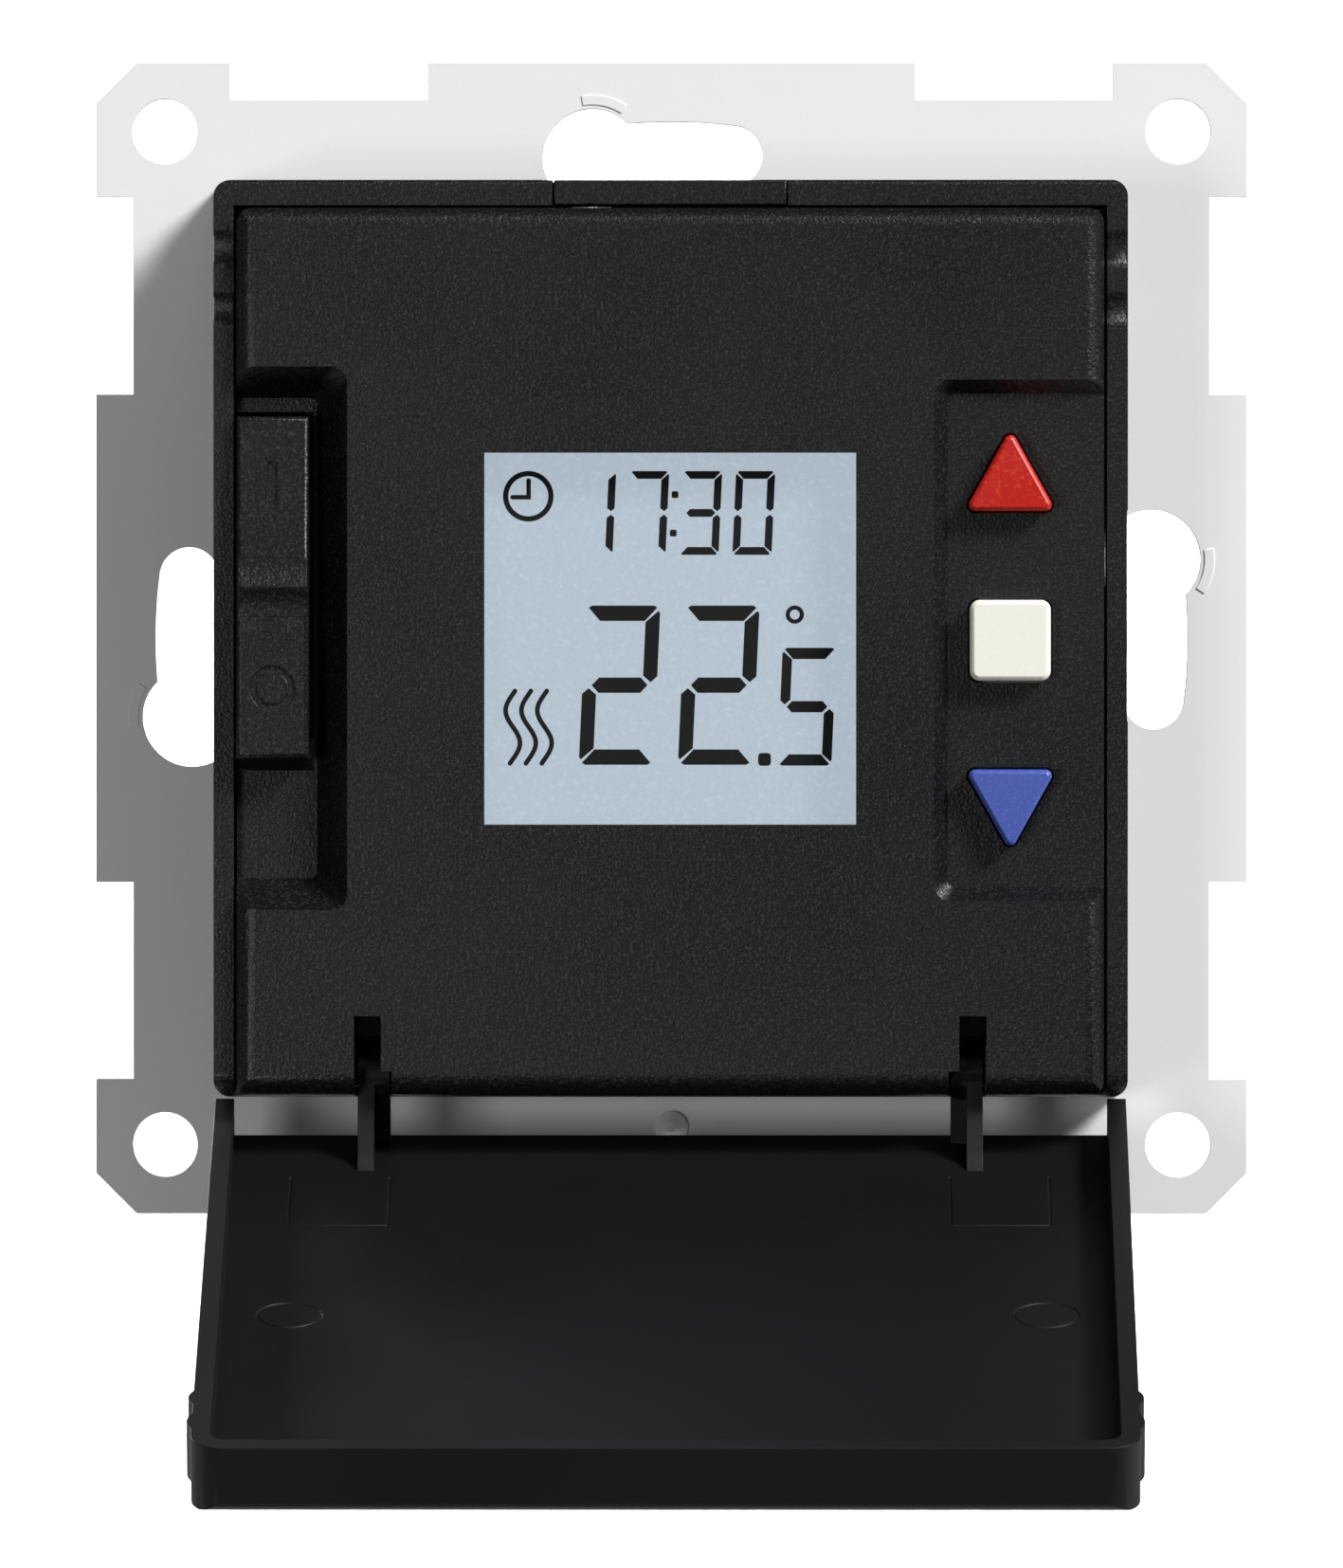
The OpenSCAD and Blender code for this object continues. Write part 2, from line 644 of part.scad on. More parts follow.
module tact_switches() color("dimgray") face() for (row = [-1:1])
    translate([button_x, button_mid + row * button_pitch, 0])
    difference() {
        block(-tact_w / 2, tact_w / 2, -tact_w / 2, tact_w / 2, board_front, tact_front);
        post(0, 0, tact_bore_r, tact_floor, tact_front + tiny);
    }

module switch_domes() color("silver") face() for (row = [-1:1])
    post(button_x, button_mid + row * button_pitch, plunger_r, tact_floor, tact_floor + 0.2);

// ---- display ----
module control_board() color("darkgreen") face() difference() {
    translate([(board_x1 + board_x0) / 2, 0, board_back]) linear_extrude(board_front - board_back)
        round_rect(board_x1 - board_x0, board_h, 0.6);
    for (x = [-1, 1], y = [-1, 1]) post(x * stud_x, y * stud_y, 0.9, board_back - 1, board_front + 1);
    // corners cut clear of the hinge lugs
    block(-unit_w, unit_w, -unit_h, hinge_y + 2.2, 0, 9);
}
board_x0 = switch_x0 + switch_w + 0.6;
board_x1 = cover_half_w - skirt_t - 0.3;
board_h = 2 * (cover_top - skirt_t - 0.4);

module board_screws() color("silver") face() for (x = [-1, 1], y = [-1, 1]) difference() {
    union() {
        post(x * stud_x, y * stud_y, 0.7, board_back - tiny, 11.8);
        post(x * stud_x, y * stud_y, 1.6, board_back - 1.1, board_back);
    }
    translate([x * stud_x, y * stud_y, board_back - 1.1]) cube([0.4, 2.2, 0.9], center = true);
    translate([x * stud_x, y * stud_y, board_back - 1.1]) cube([2.2, 0.4, 0.9], center = true);
}

module microcontroller() color("black") face() {
    block(-7, 3, -2, 8, board_back - 1.6, board_back - 0.2);
    // leads on all four sides
    for (i = [-5:5], s = [-1, 1]) {
        along = i * 0.8;
        translate([-2 + along, 3 + s * 5.5, board_back - 0.15]) cube([0.3, 1.2, 0.3], center = true);
        translate([-2 + s * 5.5, 3 + along, board_back - 0.15]) cube([1.2, 0.3, 0.3], center = true);
    }
}

module crystal() color("silver") face() translate([8, 6, board_back - 1.1]) rotate([-90, 0, 0])
    cylinder(r = 1.1, h = 6.2);

module backup_battery() color("silver") face() difference() {
    post(10, -4, 4.8, board_back - 2.4, board_back);
    difference() {
        post(10, -4, 5, board_back - 2.5, board_back - 2.1);
        post(10, -4, 4.1, board_back - 2.6, board_back - 2);
    }
}

module room_sensor() color("black") face() {
    translate([-2, -21.2, board_back - 1.3]) sphere(1.2);
    for (s = [-1, 1]) post(-2 + s * 0.6, -21.2, 0.25, board_back - 1.3, board_back);
}

module backlight_leds() color("white") face() for (s = [-1, 1], y = [-6, 6])
    block(s * (guide_w / 2 + 0.7) - 0.6, s * (guide_w / 2 + 0.7) + 0.6, y - 1.5, y + 1.5, board_front,
        board_front + 1.4);

module reflector_sheet() color("white") face()
    slab(guide_w, guide_w, 0.5, board_front, board_front + reflector_t);

module light_guide() color("aliceblue") face()
    slab(guide_w, guide_w, 0.5, board_front + reflector_t, glass_back);

module lcd_holder() color("gray") face() difference() {
    slab(holder_w, holder_w, 0.8, board_front, glass_back + glass_t);
    block(-glass_w / 2 - 0.2, glass_w / 2 + 0.2, -glass_w / 2 - 0.2, glass_w / 2 + 0.2, board_front - tiny,
        glass_back + glass_t + tiny);
}

module contact_strips() color("orchid") face() for (s = [-1, 1])
    block(-glass_w / 2 + 2, glass_w / 2 - 2, s * (guide_w / 2 + 0.65) - 0.4, s * (guide_w / 2 + 0.65) + 0.4,
        board_front, glass_back);

module lcd_glass() color("lightsteelblue") face() {
    slab(glass_w, glass_w, 0.2, glass_back, glass_back + glass_t / 2);
    slab(glass_w, glass_w - 2.4, 0.2, glass_back + glass_t / 2 - tiny, glass_back + glass_t);
}

module display_window() color([0.8, 0.85, 0.9, 0.4]) face() {
    slab(window_w + 2.4, window_w + 2.4, 0.6, sheet_back - window_flange, sheet_back);
    slab(window_w - 0.06, window_w - 0.06, 0.2, sheet_back - tiny, cover_front - 0.35);
}

// ---- mains switch ----
switch_y0 = rocker_up - switch_len / 2;
switch_y1 = rocker_up + switch_len / 2;
rib_x0 = rocker_x - rib_t / 2;
lug_x = rib_t / 2 + lug_gap;
module switch_body() color("dimgray") face() {
    x1 = switch_x0 + switch_w;
    difference() {
        block(switch_x0, x1, switch_y0, switch_y1, plate_t, switch_front);
        block(switch_x0 + switch_wall, x1 - switch_wall, switch_y0 + switch_wall, switch_y1 - switch_wall,
            plate_t + switch_wall, switch_front - switch_wall);
        // slot of the rocker's leg
        block(rib_x0 - 0.25, rib_x0 + rib_t + 0.25, rocker_up - 1.5, rocker_up + 1.5,
            7, switch_front + tiny);
    }
    for (s = [-1, 1]) difference() {
        block(rocker_x + s * (lug_x + lug_t / 2) - lug_t / 2, rocker_x + s * (lug_x + lug_t / 2) + lug_t / 2,
            rocker_up - 1.5, rocker_up + 1.5, switch_front - tiny, pivot_z + 1.4);
        axle(rocker_x - 3, rocker_x + 3, rocker_up, pivot_z, rocker_pin_r);
    }
}

module rocker_pin() color("silver") face()
    axle(rocker_x - lug_x - lug_t, rocker_x + lug_x + lug_t, rocker_up, pivot_z, rocker_pin_r);

module switch_contacts() color("gold") face() {
    base = plate_t + switch_wall;
    block(rocker_x - 1, rocker_x + 1, rocker_up - 0.4, rocker_up + 0.4, base, bridge_z - 0.35);
    for (s = [-1, 1])
        block(rocker_x - 1, rocker_x + 1,
            rocker_up + s * bridge_half - 0.8, rocker_up + s * bridge_half + 0.8, base, bridge_z - 1.3);
}

// The bridge tilts with the rocker about the ridge of the middle contact
module contact_bridge() color("gold") face()
        translate([0, rocker_up, bridge_z]) rotate([bridge_throw / 2, 0, 0]) {
    block(rocker_x - 0.9, rocker_x + 0.9, -bridge_half, bridge_half, -0.15, 0.15);
    axle(rocker_x - 0.9, rocker_x + 0.9, 0, 0, 0.3);
    for (s = [-1, 1]) post(rocker_x, s * (bridge_half - 0.6), 0.5, -0.4, 0);
}

// The cap is drawn level and turned to the position with its upper half in
module rocker() color("#1c1c1d") face() translate([0, rocker_up, pivot_z]) rotate([-rocker_throw / 2, 0, 0])
    translate([0, -rocker_up, -pivot_z]) {
        x0 = rocker_x - rocker_w / 2;
        x1 = rocker_x + rocker_w / 2;
        y0 = rocker_up - rocker_len / 2;
        y1 = rocker_up + rocker_len / 2;
        skirt_back = 11.8;
        flank_r = 3.4;
        ridge = 0.5;
        difference() {
            union() {
                intersection() {
                    along_x(x0, x1) arch(y0, y1, skirt_back, cover_front, 0.35, 0.35);
                    along_y(y0, y1) arch(x0, x1, skirt_back, cover_front, 0.3, 0.3);
                }
                // central ridge with hollow flanks
                difference() {
                    block(x0 + 0.12, x1 - 0.12, rocker_up - 1.8, rocker_up + 1.8, cover_front - 0.2,
                        cover_front + ridge);
                    for (s = [-1, 1])
                        axle(x0 - 1, x1 + 1, rocker_up + s * 1.85, cover_front + flank_r, flank_r);
                }
            }
            block(x0 + 0.7, x1 - 0.7, y0 + 0.9, y1 - 0.9, skirt_back - tiny, cover_front - 1.3);
            // engraved on and off marks
            block(rocker_x - 0.3, rocker_x + 0.3, rocker_up + 4.75, rocker_up + 7.65, cover_front - 0.15,
                cover_front + 1);
            translate([rocker_x, rocker_up - 6.2, cover_front - 0.15]) difference() {
                cylinder(r = 1.4, h = 1);
                translate([0, 0, -1]) cylinder(r = 0.95, h = 3);
            }
        }
        difference() {
            union() {
                block(rib_x0, rib_x0 + rib_t, rocker_up - 1.3, rocker_up + 1.3, pivot_z, cover_front - 1.2);
                axle(rib_x0, rib_x0 + rib_t, rocker_up, pivot_z, 1.3);
                block(rib_x0, rib_x0 + rib_t, rocker_up - 0.5, rocker_up + 0.5, leg_tip, pivot_z);
                axle(rib_x0, rib_x0 + rib_t, rocker_up, leg_tip, 0.5);
            }
            axle(rib_x0 - 1, rib_x0 + rib_t + 1, rocker_up, pivot_z, rocker_pin_r + pin_clear);
        }
    }

// ---- door ----
module door_outline(w, h, r) {
    // round at the free end, square at the hinge end
    translate([-w / 2, -half_h]) square([w, h - r]);
    translate([-w / 2 + r, -half_h]) square([w - 2 * r, h]);
    for (s = [-1, 1]) translate([s * (w / 2 - r), h - half_h - r]) circle(r);
}

module door_arm() {
    along_x(arm_out - web_t, arm_out) {
        polygon([[0.7 - half_h, door_back + 0.2], [hinge_y - boss_r, hinge_z], [hinge_y + boss_r, hinge_z],
            [hinge_y + 3.4, door_back - 0.9], [hinge_y + 4.6, door_back], [hinge_y + 4.6, door_back + 0.2]]);
        translate([hinge_y, hinge_z]) circle(boss_r);
    }
    along_x(arm_in, arm_out - web_t + tiny) {
        polygon([[0.7 - half_h, door_back + 0.2], [hinge_y - boss_r, hinge_z],
            [hinge_y - boss_r + 0.9, hinge_z],
            [1.5 - half_h, door_back + 0.2]]);
        translate([hinge_y, hinge_z]) circle(boss_r);
    }
    axle(arm_in - 1.6, arm_out + 1.6, hinge_y, hinge_z, trunnion_r);
}

module door() color("#18181a") face() translate([0, hinge_y, hinge_z]) rotate([open_angle, 0, 0])
    translate([0, -hinge_y, -hinge_z]) {
        difference() {
            intersection() {
                union() {
                    translate([0, 0, rim_back]) linear_extrude(door_front - rim_back)
                        door_outline(unit_w, unit_h, door_corner_r);
                    for (g = grips) mirrored() {
                        lobe_r = (g[1] * g[1] / 4 + grip_depth * grip_depth) / (2 * grip_depth);
                        intersection() {
                            post(half_w - lobe_r + grip_depth, half_h - g[0], lobe_r,
                                rim_back, door_front - 0.8);
                            block(half_w - 0.5, half_w + 1, half_h - g[0] - 2, half_h - g[0] + 2,
                                0, door_front);
                        }
                    }
                }
                along_x(-unit_w, unit_w) arch(-half_h, half_h, rim_back, door_front, 1, 0.8);
            }
            translate([0, -1, rim_back - 1]) linear_extrude(door_back - rim_back + 1)
                door_outline(unit_w - 2 * door_wall, unit_h - lip_t + 1, door_corner_r - door_wall + 0.2);
            // shallow moulding marks on the inner face
            mirrored() {
                difference() {
                    post(mark_x, mark_up, mark_r, door_back - 0.5, door_back + mark_depth);
                    post(mark_x, mark_up, mark_r - mark_line, door_back - 1, door_back + 1);
                }
                difference() {
                    block(arm_in - 0.15, arm_in - 0.15 + insert_w, insert_y0, insert_y1, door_back - 0.5,
                        door_back + mark_depth);
                    block(arm_in - 0.15 + mark_line, arm_in - 0.15 + insert_w - mark_line, insert_y0 - 1,
                        insert_y1 - mark_line, door_back - 1, door_back + 1);
                }
            }
        }
        mirrored() door_arm();
    }

support_plate();
rear_housing();
base_screws();
power_board();
terminal_block();
terminal_clamps();
terminal_screws();
relay();
film_capacitor();
smoothing_capacitor();
varistor();
fuse();
header_socket();
header_pins();
front_frame();
cover_latch();
front_cover();
control_board();
board_screws();
microcontroller();
crystal();
backup_battery();
room_sensor();
backlight_leds();
reflector_sheet();
light_guide();
lcd_holder();
contact_strips();
lcd_glass();
display_window();
tact_switches();
switch_domes();
plunger_up();
plunger_set();
plunger_down();
button_up();
button_set();
button_down();
switch_body();
switch_contacts();
contact_bridge();
rocker_pin();
rocker();
door();
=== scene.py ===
"""Looks of a flush-mounted clock thermostat with a flip-down door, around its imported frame."""
import json
import math

import bmesh
import bpy
import numpy as np
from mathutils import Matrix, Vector


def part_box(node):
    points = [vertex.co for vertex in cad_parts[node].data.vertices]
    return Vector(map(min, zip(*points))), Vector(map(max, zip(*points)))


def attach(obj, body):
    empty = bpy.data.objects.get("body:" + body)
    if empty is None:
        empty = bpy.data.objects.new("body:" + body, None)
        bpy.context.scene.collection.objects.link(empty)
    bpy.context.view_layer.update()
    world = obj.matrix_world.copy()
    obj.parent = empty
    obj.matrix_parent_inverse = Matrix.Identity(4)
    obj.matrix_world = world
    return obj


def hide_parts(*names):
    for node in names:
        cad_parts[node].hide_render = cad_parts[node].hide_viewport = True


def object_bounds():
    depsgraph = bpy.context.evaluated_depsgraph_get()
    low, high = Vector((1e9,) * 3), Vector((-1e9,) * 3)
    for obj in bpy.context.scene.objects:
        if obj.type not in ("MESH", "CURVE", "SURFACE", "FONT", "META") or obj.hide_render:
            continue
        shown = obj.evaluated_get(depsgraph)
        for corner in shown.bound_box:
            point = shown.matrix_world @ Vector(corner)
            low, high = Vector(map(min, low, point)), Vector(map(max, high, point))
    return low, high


MM = 0.001
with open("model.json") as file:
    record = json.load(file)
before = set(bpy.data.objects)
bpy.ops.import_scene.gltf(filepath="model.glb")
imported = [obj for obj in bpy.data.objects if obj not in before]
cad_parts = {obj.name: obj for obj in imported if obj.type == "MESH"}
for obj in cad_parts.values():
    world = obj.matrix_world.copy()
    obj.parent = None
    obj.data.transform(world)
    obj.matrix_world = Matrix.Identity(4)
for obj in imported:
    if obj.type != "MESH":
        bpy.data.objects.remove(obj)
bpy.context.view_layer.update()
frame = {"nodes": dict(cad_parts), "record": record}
NODES = frame["nodes"]
BODY_OF = {n: b for b, members in frame["record"]["behaviour"]["bodies"].items() for n in members}
SLOT_OF = {part["node"]: part["material_slot"] for part in frame["record"]["subparts"]}


# ---------------------------------------------------------------- places taken from the frame
def lo_hi(node):
    """Lowest and highest corner of a node, in millimetres."""
    low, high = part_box(node)
    return np.array(low) / MM, np.array(high) / MM


window_lo, window_hi = lo_hi("display_window")
glass_lo, glass_hi = lo_hi("lcd_glass")
display_x = (window_lo[0] + window_hi[0]) / 2
display_z = (window_lo[2] + window_hi[2]) / 2
glass_front = -glass_lo[1]          # height of the glass above the wall face


# ---------------------------------------------------------------- meshes
def new_object(name, verts, faces, node_or_body, slot, smooth=30):
    """An object from vertices in millimetres, riding on a body, its faces turned outwards."""
    mesh = bpy.data.meshes.new(name)
    mesh.from_pydata((np.asarray(verts, float) * MM).tolist(), [], [list(f) for f in faces])
    obj = bpy.data.objects.new(name, mesh)
    bpy.context.scene.collection.objects.link(obj)
    tidy_faces(mesh)
    shade(obj, smooth)
    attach(obj, BODY_OF.get(node_or_body, node_or_body))
    return obj


def tidy_faces(mesh, flat_angle=0.0):
    """Merges doubles, joins flat neighbours if asked, and turns the faces outwards."""
    bm = bmesh.new()
    bm.from_mesh(mesh)
    bmesh.ops.remove_doubles(bm, verts=bm.verts, dist=2e-6)
    if flat_angle:
        bmesh.ops.dissolve_limit(bm, angle_limit=math.radians(flat_angle), use_dissolve_boundaries=False,
                                 verts=bm.verts, edges=bm.edges)
    bmesh.ops.recalc_face_normals(bm, faces=bm.faces)
    bm.to_mesh(mesh)
    bm.free()
    mesh.update()


def shade(obj, angle):
    """Smooth shading up to an angle between faces, in degrees."""
    for polygon in obj.data.polygons:
        polygon.use_smooth = True
    obj.data.set_sharp_from_angle(angle=math.radians(angle))


def softened(node, edge=0.12, angle=32):
    """A copy of a CAD node with its sharp edges rounded by edge millimetres, standing for the node."""
    obj = bpy.data.objects.new("soft_" + node, NODES[node].data.copy())
    bpy.context.scene.collection.objects.link(obj)
    tidy_faces(obj.data, flat_angle=0.4)
    obj.data.materials.clear()
    bevel = obj.modifiers.new("round_edges", "BEVEL")
    bevel.width = edge * MM
    bevel.segments = 2
    bevel.limit_method = "ANGLE"
    bevel.angle_limit = math.radians(angle)
    bevel.use_clamp_overlap = True
    shade(obj, 40)
    even = obj.modifiers.new("even_normals", "WEIGHTED_NORMAL")
    even.mode = "FACE_AREA"
    even.weight = 80
    even.keep_sharp = True
    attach(obj, BODY_OF[node])
    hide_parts(node)
    return obj


def plates(outlines, low, high):
    """Prisms on convex outlines in (x, z): each outline fanned from its middle, joined front to back."""
    verts, faces = [], []
    for outline in outlines:
        points = np.asarray(outline, float)
        count = len(points)
        base = len(verts)
        for height in (low, high):
            verts += [(x, -height, z) for x, z in points]
            middle = points.mean(0)
            verts.append((middle[0], -height, middle[1]))
        back, front = base, base + count + 1
        for i in range(count):
            j = (i + 1) % count
            faces.append((back + i, back + j, front + j, front + i))
            faces.append((back + j, back + i, back + count))
            faces.append((front + i, front + j, front + count))
    return verts, faces


def ribbon(path, width, low, high, closed=False):
    """A flat band of a width that follows a path in (x, z), as a row of four-sided prisms."""
    points = np.asarray(path, float)
    step = np.roll(points, -1, 0) - points
    if not closed:
        step[-1] = step[-2]
    normal = np.stack([-step[:, 1], step[:, 0]], 1) / np.linalg.norm(step, axis=1)[:, None]
    before = np.roll(normal, 1, 0)
    if not closed:
        before[0] = normal[0]
    mitre = normal + before
    mitre /= np.linalg.norm(mitre, axis=1)[:, None]
    side = mitre / (mitre * normal).sum(1)[:, None] * width / 2
    ring = [(points + side, low), (points + side, high), (points - side, high), (points - side, low)]
    verts = np.concatenate([np.stack([p[:, 0], np.full(len(p), -h), p[:, 1]], 1) for p, h in ring])
    n = len(points)
    steps = range(n if closed else n - 1)
    faces = [(k * n + i, k * n + (i + 1) % n, ((k + 1) % 4) * n + (i + 1) % n, ((k + 1) % 4) * n + i)
             for k in range(4) for i in steps]
    if not closed:
        faces += [(0, n, 2 * n, 3 * n), (n - 1, 4 * n - 1, 3 * n - 1, 2 * n - 1)]
    return verts.tolist(), faces


def joined(parts):
    """Several (vertices, faces) pairs as one."""
    verts, faces = [], []
    for v, f in parts:
        faces += [tuple(i + len(verts) for i in face) for face in f]
        verts += [tuple(p) for p in v]
    return verts, faces


def disc(x, z, radius, count=24):
    """A circle of a radius round (x, z), as points."""
    turn = np.linspace(0, 2 * math.pi, count, endpoint=False)
    return np.stack([x + radius * np.cos(turn), z + radius * np.sin(turn)], 1)


# ---------------------------------------------------------------- shader groups
def group(name, inputs, outputs):
    """An empty shader group with number sockets, its input node and its output node."""
    tree = bpy.data.node_groups.new(name, "ShaderNodeTree")
    for label, default in inputs.items():
        socket = tree.interface.new_socket(label, in_out="INPUT", socket_type="NodeSocketFloat")
        socket.default_value = default
    for label in outputs:
        tree.interface.new_socket(label, in_out="OUTPUT", socket_type="NodeSocketFloat")
    return tree, tree.nodes.new("NodeGroupInput"), tree.nodes.new("NodeGroupOutput")


def math_node(tree, operation, a, b):
    """The result socket of one sum, where a and b are numbers or sockets."""
    node = tree.nodes.new("ShaderNodeMath")
    node.operation = operation
    for socket, value in zip(node.inputs, (a, b)):
        if isinstance(value, (int, float)):
            socket.default_value = value
        else:
            tree.links.new(value, socket)
    return node.outputs[0]


def noise(tree, scale, detail, vector, roughness=0.5):
    """Smooth noise from 0 to 1 at a vector socket."""
    node = tree.nodes.new("ShaderNodeTexNoise")
    node.inputs["Detail"].default_value = detail
    node.inputs["Roughness"].default_value = roughness
    if isinstance(scale, (int, float)):
        node.inputs["Scale"].default_value = scale
    else:
        tree.links.new(scale, node.inputs["Scale"])
    tree.links.new(vector, node.inputs["Vector"])
    return node.outputs["Fac"]


def build_grain():
    """Spark-eroded grain: fine noise as a height, and its peaks as a speckle mask."""
    tree, given, result = group("mould_grain", {"Scale": 5000.0, "Speckle": 1.0}, ["Height", "Speckle"])
    place = tree.nodes.new("ShaderNodeTexCoord").outputs["Object"]
    fine = noise(tree, given.outputs["Scale"], 2.0, place, 0.6)
    coarse = noise(tree, math_node(tree, "MULTIPLY", given.outputs["Scale"], 0.31), 2.0, place)
    height = math_node(tree, "ADD", math_node(tree, "MULTIPLY", fine, 0.7),
                       math_node(tree, "MULTIPLY", coarse, 0.3))
    peaks = math_node(tree, "MULTIPLY", math_node(tree, "SUBTRACT", fine, 0.52), 5.0)
    clamp = tree.nodes.new("ShaderNodeClamp")
    tree.links.new(peaks, clamp.inputs["Value"])
    tree.links.new(height, result.inputs["Height"])
    speckle = math_node(tree, "MULTIPLY", clamp.outputs[0], given.outputs["Speckle"])
    tree.links.new(speckle, result.inputs["Speckle"])
    return tree


def build_handling():
    """Slow patches left by moulding and handling, from 0 to 1."""
    tree, given, result = group("handling", {"Scale": 90.0}, ["Patches", "Dust"])
    place = tree.nodes.new("ShaderNodeTexCoord").outputs["Object"]
    patches = noise(tree, given.outputs["Scale"], 3.0, place)
    dots = noise(tree, math_node(tree, "MULTIPLY", given.outputs["Scale"], 26.0), 1.0, place)
    ramp = tree.nodes.new("ShaderNodeMapRange")
    ramp.inputs["From Min"].default_value = 0.72
    ramp.inputs["From Max"].default_value = 0.80
    tree.links.new(dots, ramp.inputs["Value"])
    tree.links.new(patches, result.inputs["Patches"])
    tree.links.new(ramp.outputs["Result"], result.inputs["Dust"])
    return tree


GRAIN = build_grain()
HANDLING = build_handling()


def mix_colour(tree, factor, a, b):
    """The mix of two colours, each a tuple or a socket, by a factor socket."""
    node = tree.nodes.new("ShaderNodeMix")
    node.data_type = "RGBA"
    tree.links.new(factor, node.inputs["Factor"])
    for socket, value in ((node.inputs["A"], a), (node.inputs["B"], b)):
        if isinstance(value, tuple):
            socket.default_value = (*value, 1)
        else:
            tree.links.new(value, socket)
    return node.outputs["Result"]


def place_group(tree, which, **values):
    """A shader group placed in a tree, with its sockets set."""
    node = tree.nodes.new("ShaderNodeGroup")
    node.node_tree = which
    for label, value in values.items():
        node.inputs[label].default_value = value
    return node


def moulded(name, dark, light, rough=(0.5, 0.62), grain=5000.0, depth=0.02, speckle=0.5, dust=0.15,
            patch_scale=90.0, specular=0.5):
    """Moulded plastic: two tones mixed by the grain's speckle and slow patches, with a grain bump."""
    material = bpy.data.materials.new(name)
    material.use_nodes = True
    tree = material.node_tree
    shader = tree.nodes["Principled BSDF"]
    shader.inputs["Specular IOR Level"].default_value = specular
    surface = place_group(tree, GRAIN, Scale=grain, Speckle=speckle)
    handled = place_group(tree, HANDLING, Scale=patch_scale)
    tone = mix_colour(tree, surface.outputs["Speckle"], dark, light)
    dusty = math_node(tree, "MULTIPLY", handled.outputs["Dust"], dust)
    dust_colour = tuple(0.5 + 0.5 * c for c in light)
    tree.links.new(mix_colour(tree, dusty, tone, dust_colour), shader.inputs["Base Color"])
    spread = tree.nodes.new("ShaderNodeMapRange")
    spread.inputs["From Min"].default_value = 0.35
    spread.inputs["From Max"].default_value = 0.65
    spread.inputs["To Min"].default_value, spread.inputs["To Max"].default_value = rough
    tree.links.new(handled.outputs["Patches"], spread.inputs["Value"])
    tree.links.new(spread.outputs["Result"], shader.inputs["Roughness"])
    bump = tree.nodes.new("ShaderNodeBump")
    bump.inputs["Strength"].default_value = 1.0
    bump.inputs["Distance"].default_value = depth * MM
    tree.links.new(surface.outputs["Height"], bump.inputs["Height"])
    tree.links.new(bump.outputs["Normal"], shader.inputs["Normal"])
    return material


def metal(name, colour, rough, brushed=2500.0):
    """Plated metal with fine brushed streaks along X."""
    material = bpy.data.materials.new(name)
    material.use_nodes = True
    tree = material.node_tree
    shader = tree.nodes["Principled BSDF"]
    shader.inputs["Metallic"].default_value = 1.0
    place = tree.nodes.new("ShaderNodeTexCoord").outputs["Object"]
    stretch = tree.nodes.new("ShaderNodeMapping")
    stretch.inputs["Scale"].default_value = (0.08, 1, 1)
    tree.links.new(place, stretch.inputs["Vector"])
    streaks = noise(tree, brushed, 3.0, stretch.outputs["Vector"])
    shaded = tuple(0.82 * c for c in colour)
    tree.links.new(mix_colour(tree, streaks, shaded, colour), shader.inputs["Base Color"])
    spread = tree.nodes.new("ShaderNodeMapRange")
    spread.inputs["To Min"].default_value, spread.inputs["To Max"].default_value = rough - 0.08, rough + 0.1
    tree.links.new(streaks, spread.inputs["Value"])
    tree.links.new(spread.outputs["Result"], shader.inputs["Roughness"])
    return material


def clear_window(name):
    """The display's clear window: nearly see-through, with a polished front."""
    material = bpy.data.materials.new(name)
    material.use_nodes = True
    tree = material.node_tree
    shader = tree.nodes["Principled BSDF"]
    shader.inputs["Base Color"].default_value = (0.02, 0.022, 0.022, 1)
    shader.inputs["IOR"].default_value = 1.49
    handled = place_group(tree, HANDLING, Scale=160.0)
    spread = tree.nodes.new("ShaderNodeMapRange")
    spread.inputs["To Min"].default_value, spread.inputs["To Max"].default_value = 0.08, 0.2
    tree.links.new(handled.outputs["Patches"], spread.inputs["Value"])
    tree.links.new(spread.outputs["Result"], shader.inputs["Roughness"])
    shader.inputs["Alpha"].default_value = 0.06
    return material


def painted_glow_display(name, dark, light):
    """Reflective display foil with a painted glow: a fine two-tone grain that gives off its own light,
    standing in for the light on the foil and filling the shade the window casts on it.
    """
    reflected_share = 0.12                                    # share of the colour that reflects the lamps; the rest is painted glow
    material = moulded(name, tuple(reflected_share * c for c in dark), tuple(reflected_share * c for c in light), (0.5, 0.6),
                       3200.0, 0.001, speckle=1.0, dust=0.0, patch_scale=120.0, specular=0.2)
    tree = material.node_tree
    shader = tree.nodes["Principled BSDF"]
    surface = place_group(tree, GRAIN, Scale=3200.0, Speckle=1.0)
    # painted glow: the foil's two tones given off as light, so the foil stays evenly bright under the
    # window's shade
    tree.links.new(mix_colour(tree, surface.outputs["Speckle"], dark, light), shader.inputs["Emission Color"])
    shader.inputs["Emission Strength"].default_value = 1.0
    return material


